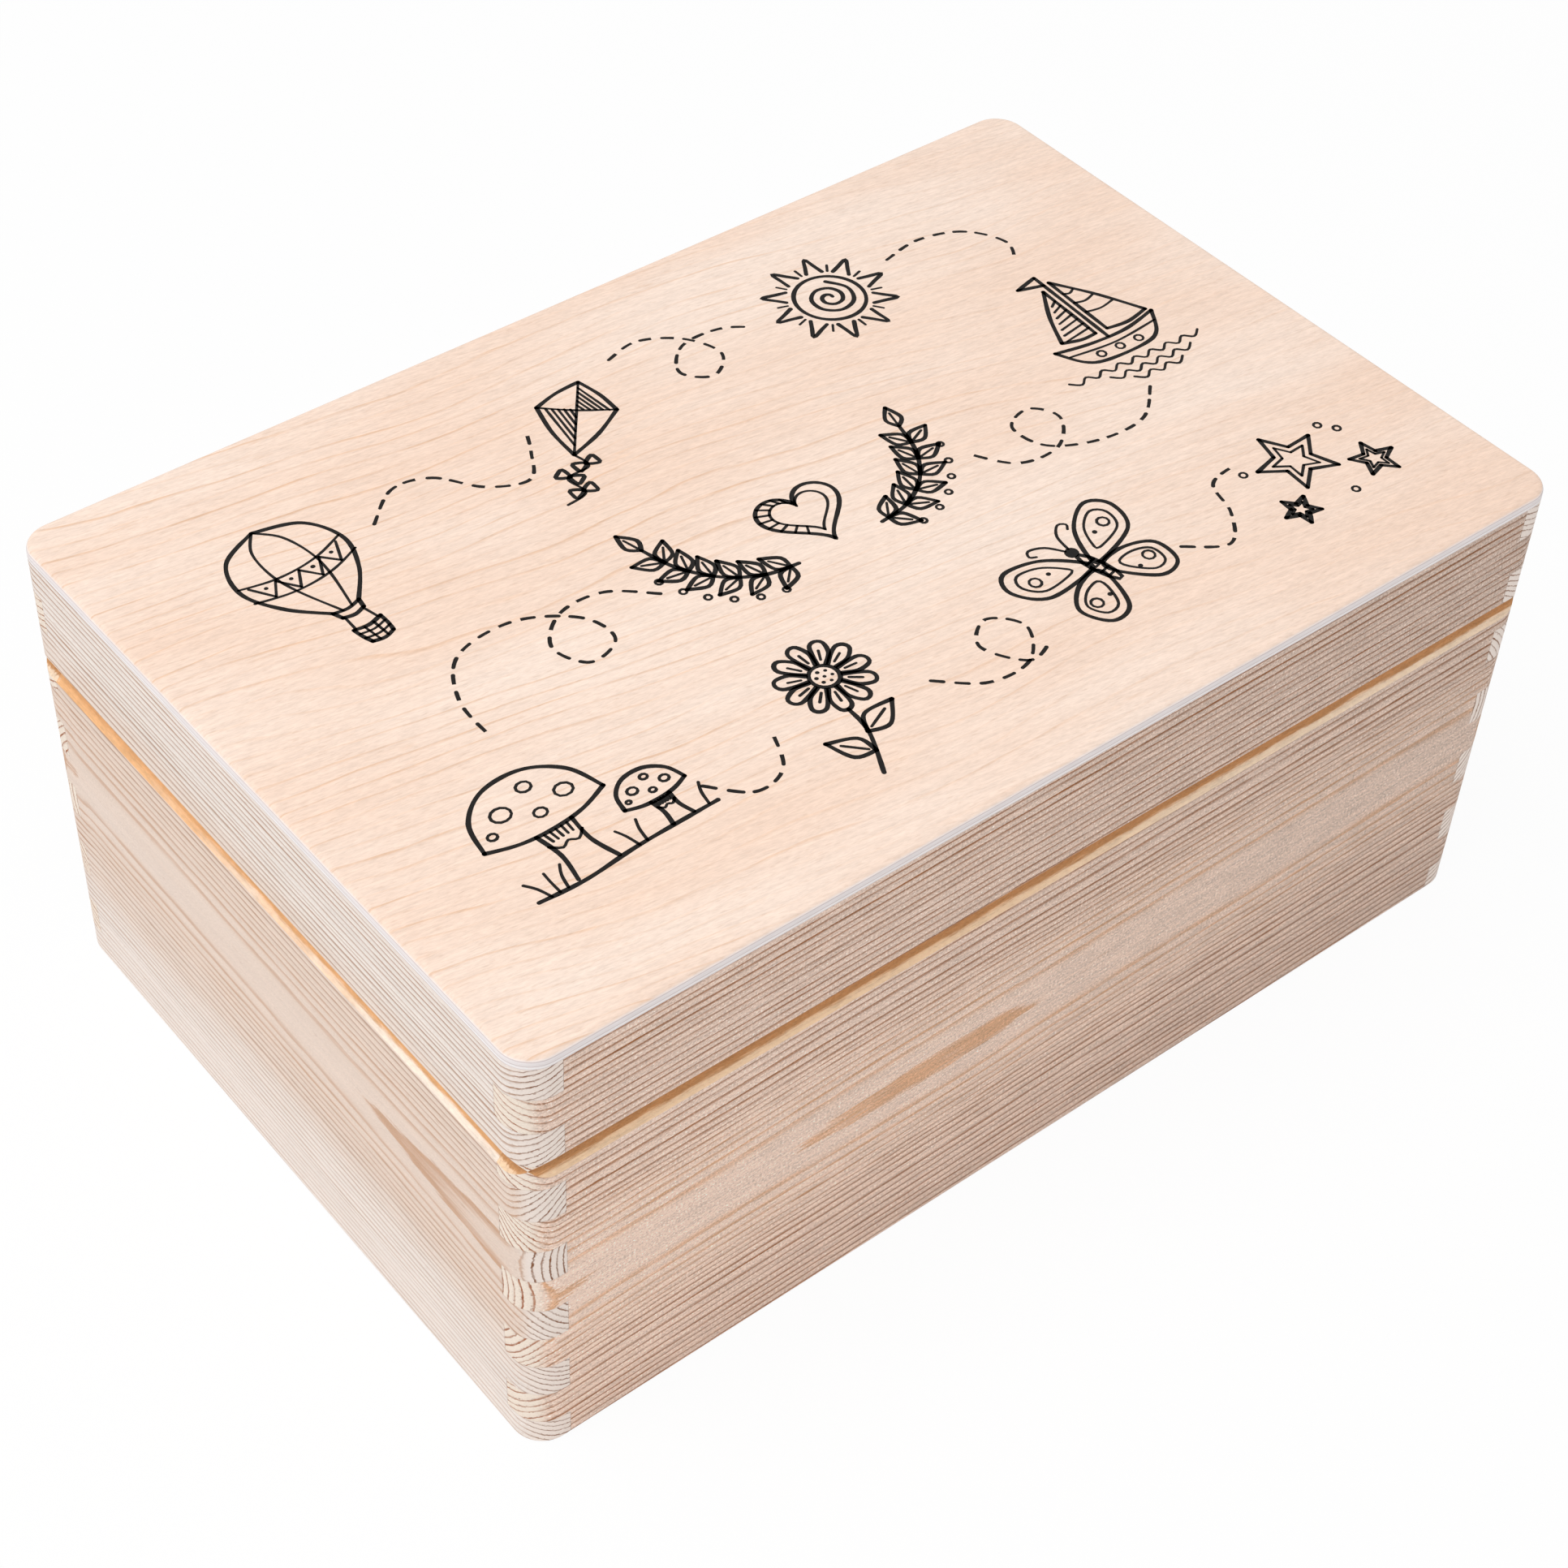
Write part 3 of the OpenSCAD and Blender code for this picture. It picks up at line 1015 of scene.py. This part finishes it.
def draw_kite(pen: Sheet) -> None:
    """Draw a billowing kite with a hatched quarter and bows on its tail.

    Args:
        pen: The sheet that it is drawn on.
    """
    pen.both([(0, 18), (6.7, 12), (12, 5)])
    pen.both([(12, 5), (6.9, -6.6), (0, -17)])
    pen.thin([(0, 18), (0, -17)])
    pen.thin([(-12, 5), (0, 4.2), (12, 5)])
    for share in (0.16, 0.32, 0.48, 0.64, 0.8):
        pen.thin([(0, 4.5 + 13.3 * share), (12.3 * share, 4.7)])
        pen.thin([(0, 4 - 20.6 * share), (-11.6 * share, 4.5)])
    pen.thin([(0, -17), (4.5, -22), (-1.5, -28), (4, -34), (-1, -40)])
    for at, tilt in (((3.6, -20.7), 40), ((-0.9, -27.2), -20), ((3.3, -33.2), 35)):
        for side in (0, 180):
            wing = [(0, 0), (3.4, 2.1), (3.9, 0), (3.4, -2.1)]
            pen.curve(moved(wing, at, tilt + side), closed=True)
        pen.dot(at, 0.7)


def draw_sun(pen: Sheet) -> None:
    """Draw a sun round a spiral, with flames and short rays by turns.

    Args:
        pen: The sheet that it is drawn on.
    """
    spiral = [moved([(0.9 + 0.42 * k, 0)], (0, 0), 52 * k)[0] for k in range(16)]
    pen.curve(spiral)
    pen.oval((0, 0), 9.6, width=pen.bold)
    for k in range(10):
        flame = [(11.6, -2.2), (14.4, -1.1), (18, 0.4), (14.2, 1.5), (11.6, 2.2)]
        pen.curve(moved(flame, (0, 0), 36 * k))
        pen.thin(moved([(11.9, 0), (14.6, 0)], (0, 0), 36 * k + 18))


def draw_boat(pen: Sheet) -> None:
    """Draw a sailing boat on three rows of waves.

    Args:
        pen: The sheet that it is drawn on.
    """
    pen.curve([(-17, -6), (-6, -7.7), (6, -7.7), (17.5, -5)])
    pen.curve([(-17, -6), (-12.8, -13), (-7, -15.6), (6, -15.6), (12.5, -13), (17.5, -5)])
    pen.thin([(-14.6, -9.4), (0, -10.6), (15.4, -8.8)])
    for x in (-6.5, 0, 6.5):
        pen.oval((x, -12.7), 1.25)
    pen.lines([(0, -7.6), (0, 24)])
    pen.lines([(0, 24), (-7.5, 21.8), (0, 19.8)])
    for head, tack, clew, leech, foot in (
            ((2, 20), (2, -4.8), (16.5, -3.6), (9.6, 9), (9, -5.4)),
            ((-2, 17.5), (-2, -4.8), (-12.6, -3.4), (-8.2, 7), (-7, -5))):
        for edge in ([head, leech, clew], [clew, foot, tack], [tack, head]):
            pen.curve(edge)
    for share in (0.25, 0.45, 0.65):
        y = 20 - 24.5 * share
        pen.thin([(2, y), (2 + 7.2 * share, y - 0.7), (2 + 14.6 * share, y + 0.3)])
    for k in range(7):
        y = 12.5 - 2.4 * k
        pen.thin([(-2, y), (-2 - (17.5 - y) * 0.46, y - 1.6)])
    for y, first, count in ((-18.4, -4, 8), (-22, -2, 5), (-25.2, -1, 3)):
        crests = [(5.6 * (first + k / 2), y + (0, -2)[k % 2]) for k in range(2 * count + 1)]
        pen.thin(crests)


def draw_heart(pen: Sheet) -> None:
    """Draw a double heart between two laurel sprigs.

    Args:
        pen: The sheet that it is drawn on.
    """
    turns = [2 * math.pi * k / 32 for k in range(32)]
    heart = [(16 * math.sin(t) ** 3, 13 * math.cos(t) - 5 * math.cos(2 * t)
              - 2 * math.cos(3 * t) - math.cos(4 * t)) for t in turns]
    pen.curve(moved(heart, (0, 1), size=0.72), closed=True)
    pen.curve(moved(heart, (0, 1.3), size=0.5), pen.fine, closed=True)
    for k in range(20, 30):
        outer, inner = (moved([heart[k]], (0, lift), size=size)[0]
                        for lift, size in ((1, 0.72), (1.3, 0.5)))
        pen.thin([outer, inner])
    stem = [(13, -13), (22, -11.5), (31, -6), (37.5, 3), (40.5, 13)]
    for mirror in (1, -1):
        path = spline(stem)
        pen.curve([(mirror * x, y) for x, y in stem])
        for spot, ahead in zip(path[3:-3:6], path[4:-2:6]):
            lean = math.degrees(math.atan2(ahead[1] - spot[1], ahead[0] - spot[0]))
            for side in (1, -1):
                tilt = lean + side * 50
                pen.leaf((mirror * spot[0], spot[1]), tilt if mirror > 0 else 180 - tilt, 8)
            pen.oval((mirror * (ahead[0] + 5), ahead[1] - 6), 0.9)
        pen.leaf((mirror * stem[-1][0], stem[-1][1]), 76 if mirror > 0 else 104, 8)


def draw_mushrooms(pen: Sheet) -> None:
    """Draw two spotted mushrooms in the grass.

    Args:
        pen: The sheet that it is drawn on.
    """
    for at, size in (((-4, 0), 1.0), ((17.5, -7.4), 0.52)):
        cap = [(-15, 2), (-12.4, 10.5), (-5, 16), (5, 16), (12.4, 10.5), (15, 2)]
        brim = [(-15, 2), (-8, -0.4), (0, -1.2), (8, -0.4), (15, 2)]
        pen.curve(moved(cap, at, size=size))
        pen.curve(moved(brim, at, size=size))
        for spot, radius in (((-6, 8.4), 2.3), ((2.4, 11.8), 1.7), ((8.2, 6.2), 2.1),
                             ((0.6, 4), 1.5), ((-11, 4.6), 1.1)):
            pen.oval(moved([spot], at, size=size)[0], radius * size, 0.85)
        for side in (1, -1):
            stalk = [(side * 4.4, -1), (side * 3.7, -8), (side * 5.2, -15)]
            pen.curve(moved(stalk, at, size=size))
        for k in range(-2, 3):
            pen.thin(moved([(1.4 * k, -1.5), (1.25 * k, -3.9)], at, size=size))
        frill = [(-4.2, -4.6), (-2, -6.4), (0, -5.4), (2, -6.4), (4.2, -4.6)]
        pen.thin(moved(frill, at, size=size))
    pen.curve([(-19, -15), (-8, -16), (6, -15.4), (26, -15.8)])
    for x, lean in ((-16, -2.5), (-14, 0.5), (-12, 2.5), (6, -1.5), (8, 1.8), (24, 2.2)):
        pen.thin([(x, -15.4), (x + lean * 0.4, -12), (x + lean, -9.5)])


def draw_daisy(pen: Sheet) -> None:
    """Draw a daisy with two leaves on its stalk.

    Args:
        pen: The sheet that it is drawn on.
    """
    middle = (0, 11)
    pen.oval(middle, 4.2, width=pen.bold)
    for k in range(7):
        pen.dot(moved([(2.3 if k else 0, 0)], middle, 60 * k)[0], 0.45)
    for k in range(11):
        petal = [(4.9, -1.1), (9, -2.5), (13, -1.5), (13.6, 0.6), (12, 2.2), (8.5, 2), (4.9, 1.1)]
        tilt = 360 * k / 11 + 8
        pen.curve(moved(petal, middle, tilt))
        pen.thin(moved([(6.4, 0), (10, 0.1)], middle, tilt))
    pen.curve([(0.4, -2.6), (1.6, -12), (-1.4, -27)])
    pen.leaf((1.4, -12), 38, 14)
    pen.leaf((0.4, -19), 148, 13)


def draw_butterfly(pen: Sheet) -> None:
    """Draw a butterfly with its wings spread.

    Args:
        pen: The sheet that it is drawn on.
    """
    pen.oval((0, 0), 1.7, 3.6, width=pen.bold)
    for k in range(4):
        pen.thin([(-1.5, 2.6 - 2 * k), (1.5, 2.6 - 2 * k)])
    pen.dot((0, 7.6), 1.6)
    pen.both([(0.6, 9), (2.6, 13.4), (6, 15.6), (7.6, 14.2), (6.4, 13)], pen.fine)
    upper = [(1.6, 4.4), (7.6, 12), (16.6, 15.4), (20.6, 10.4), (16, 2.6), (1.8, 1)]
    lower = [(1.8, 0.2), (9.5, -0.4), (15.6, -5), (13.6, -12.4), (7, -12.6), (1.6, -4.4)]
    for wing, middle in ((upper, (12.6, 8.2)), (lower, (9.4, -6.4))):
        pen.both(wing, closed=True)
        inner = [(0.62 * (x - middle[0]) + middle[0], 0.62 * (y - middle[1]) + middle[1])
                 for x, y in wing]
        pen.both(inner, pen.fine, closed=True)
        for mirror in (1, -1):
            pen.oval((mirror * (middle[0] + 1.4), middle[1]), 1.5)
            pen.dot((mirror * (middle[0] - 3), middle[1] - 0.6), 0.6)


def draw_stars(pen: Sheet) -> None:
    """Draw three stars, the largest with a hatched edge.

    Args:
        pen: The sheet that it is drawn on.
    """
    for at, radius, tilt in (((-2, 3), 10.5, 8), ((14, -8), 6.2, -14), ((-14, -11), 5, 20)):
        tips = [moved([((1, 0.46)[k % 2] * radius, 0)], at, 90 + tilt + 36 * k)[0]
                for k in range(11)]
        pen.lines(tips)
        inner = [moved([p], (at[0] * 0.42, at[1] * 0.42), size=0.58)[0] for p in tips]
        pen.lines(inner, pen.fine)
    for spot in ((12, 9), (15, 5.4), (2, -13.4), (-16, 6)):
        pen.oval(spot, 0.95)


@dataclass(frozen=True)
class Motif:
    """Where a motif stands on the lid, in millimetres and degrees."""

    name: str
    draw: Callable[[Sheet], None]
    at: Point
    tilt: float = 0.0
    size: float = 1.0


MOTIFS = (
    Motif("balloon", draw_balloon, (-104, 46), 6, 0.86),
    Motif("kite", draw_kite, (-22, 58), -38, 0.8),
    Motif("sun", draw_sun, (58, 60), 0, 0.95),
    Motif("boat", draw_boat, (104, 14), -3, 0.92),
    Motif("heart", draw_heart, (0, -2), 0, 0.95),
    Motif("mushrooms", draw_mushrooms, (-102, -48), 3, 1.05),
    Motif("daisy", draw_daisy, (-34, -56), -14, 0.84),
    Motif("butterfly", draw_butterfly, (42, -56), 14, 1.0),
    Motif("stars", draw_stars, (108, -58), 0, 1.0),
)

TRAILS = (
    [(-82, 54), (-72, 62), (-62, 60), (-54, 50), (-44, 46), (-38, 54), (-34, 62)],
    [(-2, 72), (8, 74), (18, 68), (22, 58), (15, 52), (9, 58), (16, 66), (28, 66), (37, 60)],
    [(80, 64), (92, 66), (104, 62), (110, 52), (106, 44)],
    [(98, -14), (88, -22), (74, -22), (62, -16), (60, -6), (68, -3), (72, -10), (64, -18),
     (52, -17), (44, -6)],
    [(-44, -4), (-54, 4), (-66, 4), (-74, -4), (-70, -13), (-61, -10), (-63, 0), (-76, 8),
     (-92, 6), (-100, -6), (-101, -20)],
    [(-74, -58), (-66, -66), (-57, -64), (-52, -54)],
    [(-14, -62), (-4, -70), (8, -70), (15, -61), (9, -54), (2, -60), (8, -70), (16, -68)],
    [(62, -62), (72, -68), (80, -60), (84, -50), (94, -48)],
)


@dataclass(frozen=True)
class LidPrint:
    """The line drawings on the lid and the dashed trails between them."""

    ink: InkFinish = InkFinish(name="print_ink", ink="#14110f",
                               thin_ink="#2b2521")
    proud: float = 0.025
    sunk: float = 0.02
    seed: int = 7

    def build(self, sizes: BoxSizes) -> None:
        """Print every motif and trail on the lid's panel.

        Args:
            sizes: The box's sizes.
        """
        chance = random.Random(self.seed)
        material = self.ink.dress()
        for motif in MOTIFS:
            sheet = Sheet()
            motif.draw(sheet)
            strokes = [replace(stroke, path=moved(stroke.path, motif.at, motif.tilt,
                                                  motif.size)) for stroke in sheet.strokes]
            self.lay(f"print_{motif.name}", strokes, sizes, material, chance)
        for number, points in enumerate(TRAILS, 1):
            sheet = Sheet()
            sheet.dashes(points)
            self.lay(f"print_trail_{number}", sheet.strokes, sizes, material, chance)

    def lay(self, name: str, strokes: list[Stroke], sizes: BoxSizes,
            material: bpy.types.Material, chance: random.Random) -> None:
        """Lay strokes on the panel as thin closed films of ink.

        Args:
            name: The piece's name.
            strokes: The strokes, placed on the lid.
            sizes: The box's sizes.
            material: The ink.
            chance: Where the hand's unsteadiness comes from.
        """
        heights = (sizes.panel_top + self.proud, sizes.panel_top - self.sunk)
        points, faces = [], []
        for stroke in strokes:
            first, rows = len(points), stroke.rows(chance)
            for left, right in rows:
                for (x, y), z in ((left, 0), (right, 0), (right, 1), (left, 1)):
                    points.append((x * MM, y * MM, heights[z] * MM))
            for i in range(len(rows) if stroke.closed else len(rows) - 1):
                near, far = first + 4 * i, first + 4 * ((i + 1) % len(rows))
                faces += [(near + k, near + (k + 1) % 4, far + (k + 1) % 4, far + k)
                          for k in range(4)]
            if not stroke.closed:
                faces += [tuple(range(end, end + 4)) for end in (first, len(points) - 4)]
        mesh = bpy.data.meshes.new(name)
        mesh.from_pydata(points, [], faces)
        turn_outward(mesh)
        mesh.materials.append(material)
        piece = bpy.data.objects.new(name, mesh)
        bpy.context.scene.collection.objects.link(piece)
        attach(piece, "lid")
        log.info("%s laid with %d strokes", name, len(strokes))


def turn_outward(mesh: bpy.types.Mesh) -> None:
    """Make every face of closed shells look outward.

    Args:
        mesh: The shells.
    """
    work = bmesh.new()
    work.from_mesh(mesh)
    bmesh.ops.recalc_face_normals(work, faces=work.faces)
    work.to_mesh(mesh)
    work.free()


# ---- The studio ---------------------------------------------------------------------


@dataclass(frozen=True)
class Studio:
    """The floor, the light and the camera."""

    photo_px: float = 1932.0
    focal_px: float = 3765.6
    middle_px: Point = (918.2, 1054.0)
    camera_mm: tuple[float, float, float] = (-361.05, -413.31, 584.67)
    azimuth: float = -40.137
    elevation: float = 45.987
    roll: float = 2.427
    floor_size: float = 12.0
    floor_colour: tuple[float, ...] = (0.95, 0.95, 0.95, 1.0)
    floor_dullness: float = 0.9
    floor_glow: float = 0.93
    sky_level: float = 0.60
    key_watts: float = 15.5
    key_place: tuple[float, float, float] = (-0.76, -0.04, 1.7)
    key_aim: tuple[float, float, float] = (0.0, 0.0, 0.08)
    key_size: float = 1.2

    def build(self) -> None:
        """Set up floor, light and camera."""
        self.floor()
        self.sky()
        self.key_lamp()
        self.camera()
        bpy.context.scene.view_settings.view_transform = "Standard"

    def floor(self) -> None:
        """Lay a plain white floor that keeps the box's shadow."""
        mesh = bpy.data.meshes.new("studio_floor")
        half = self.floor_size / 2
        mesh.from_pydata([(-half, -half, 0), (half, -half, 0), (half, half, 0),
                          (-half, half, 0)], [], [(0, 1, 2, 3)])
        floor = bpy.data.objects.new("studio_floor", mesh)
        bpy.context.scene.collection.objects.link(floor)
        graph = MaterialGraph("studio_floor")
        graph.feed(graph.shader, {"Base Color": self.floor_colour, "Specular IOR Level": 0.0,
                                  "Roughness": self.floor_dullness})
        seen = Signal(graph, graph.node("LightPath").outputs["Is Camera Ray"])
        glowing = graph.node("MixShader", {0: seen * self.floor_glow,
                                           1: graph.shader.outputs[0],
                                           2: graph.node("Emission").outputs[0]})
        graph.feed(graph.output, {"Surface": glowing.outputs[0]})
        mesh.materials.append(graph.material)
        log.info("floor laid")

    def sky(self) -> None:
        """Surround the box with even white light, which is full where it is seen."""
        world = bpy.data.worlds.new("studio_sky")
        world.use_nodes = True
        bpy.context.scene.world = world
        graph = Graph(world.node_tree)
        path = graph.node("LightPath")
        camera, glossy, through = (Signal(graph, path.outputs[f"Is {ray} Ray"])
                                   for ray in ("Camera", "Glossy", "Transmission"))
        seen = camera.most(glossy).most(through)
        graph.feed(graph.tree.nodes["Background"], {
            "Color": "#ffffff", "Strength": self.sky_level + seen * (1 - self.sky_level)})
        log.info("sky lit")

    def key_lamp(self) -> None:
        """Hang one large soft lamp high on the left."""
        data = bpy.data.lights.new("key_lamp", "AREA")
        data.energy = self.key_watts
        data.size = self.key_size
        lamp = bpy.data.objects.new("key_lamp", data)
        lamp.location = self.key_place
        aim = Vector(self.key_place) - Vector(self.key_aim)
        lamp.rotation_euler = aim.to_track_quat("Z", "Y").to_euler()
        bpy.context.scene.collection.objects.link(lamp)
        log.info("key lamp hung")

    def camera(self) -> None:
        """Stand the camera where the photograph was taken."""
        data = bpy.data.cameras.new("photo_camera")
        data.sensor_width = 36.0
        data.lens = self.focal_px * data.sensor_width / self.photo_px
        centre = self.photo_px / 2
        data.shift_x = (centre - self.middle_px[0]) / self.photo_px
        data.shift_y = (self.middle_px[1] - centre) / self.photo_px
        data.clip_start, data.clip_end = 0.05, 20.0
        a, e, r = (math.radians(v) for v in (self.azimuth, self.elevation, self.roll))
        back = Vector((math.sin(a) * math.cos(e), -math.cos(a) * math.cos(e), math.sin(e)))
        right = Vector((0, 0, 1)).cross(back).normalized()
        up = back.cross(right)
        right, up = (right * math.cos(r) + up * math.sin(r),
                     up * math.cos(r) - right * math.sin(r))
        turn = Matrix((right, up, back)).transposed()
        camera = bpy.data.objects.new("photo_camera", data)
        camera.matrix_world = (Matrix.Translation(Vector(self.camera_mm) * MM)
                               @ turn.to_4x4())
        bpy.context.scene.collection.objects.link(camera)
        bpy.context.scene.camera = camera
        log.info("camera placed")


def main() -> None:
    """Build and dress the box in its studio."""
    logging.basicConfig(level=logging.INFO, format="%(name)s: %(message)s")
    sizes = BoxSizes()
    Studio().build()
    Carcass(sizes).dress()
    Panels().dress()
    Hinges().dress()
    LidPrint().build(sizes)


if __name__ == "__main__":
    main()
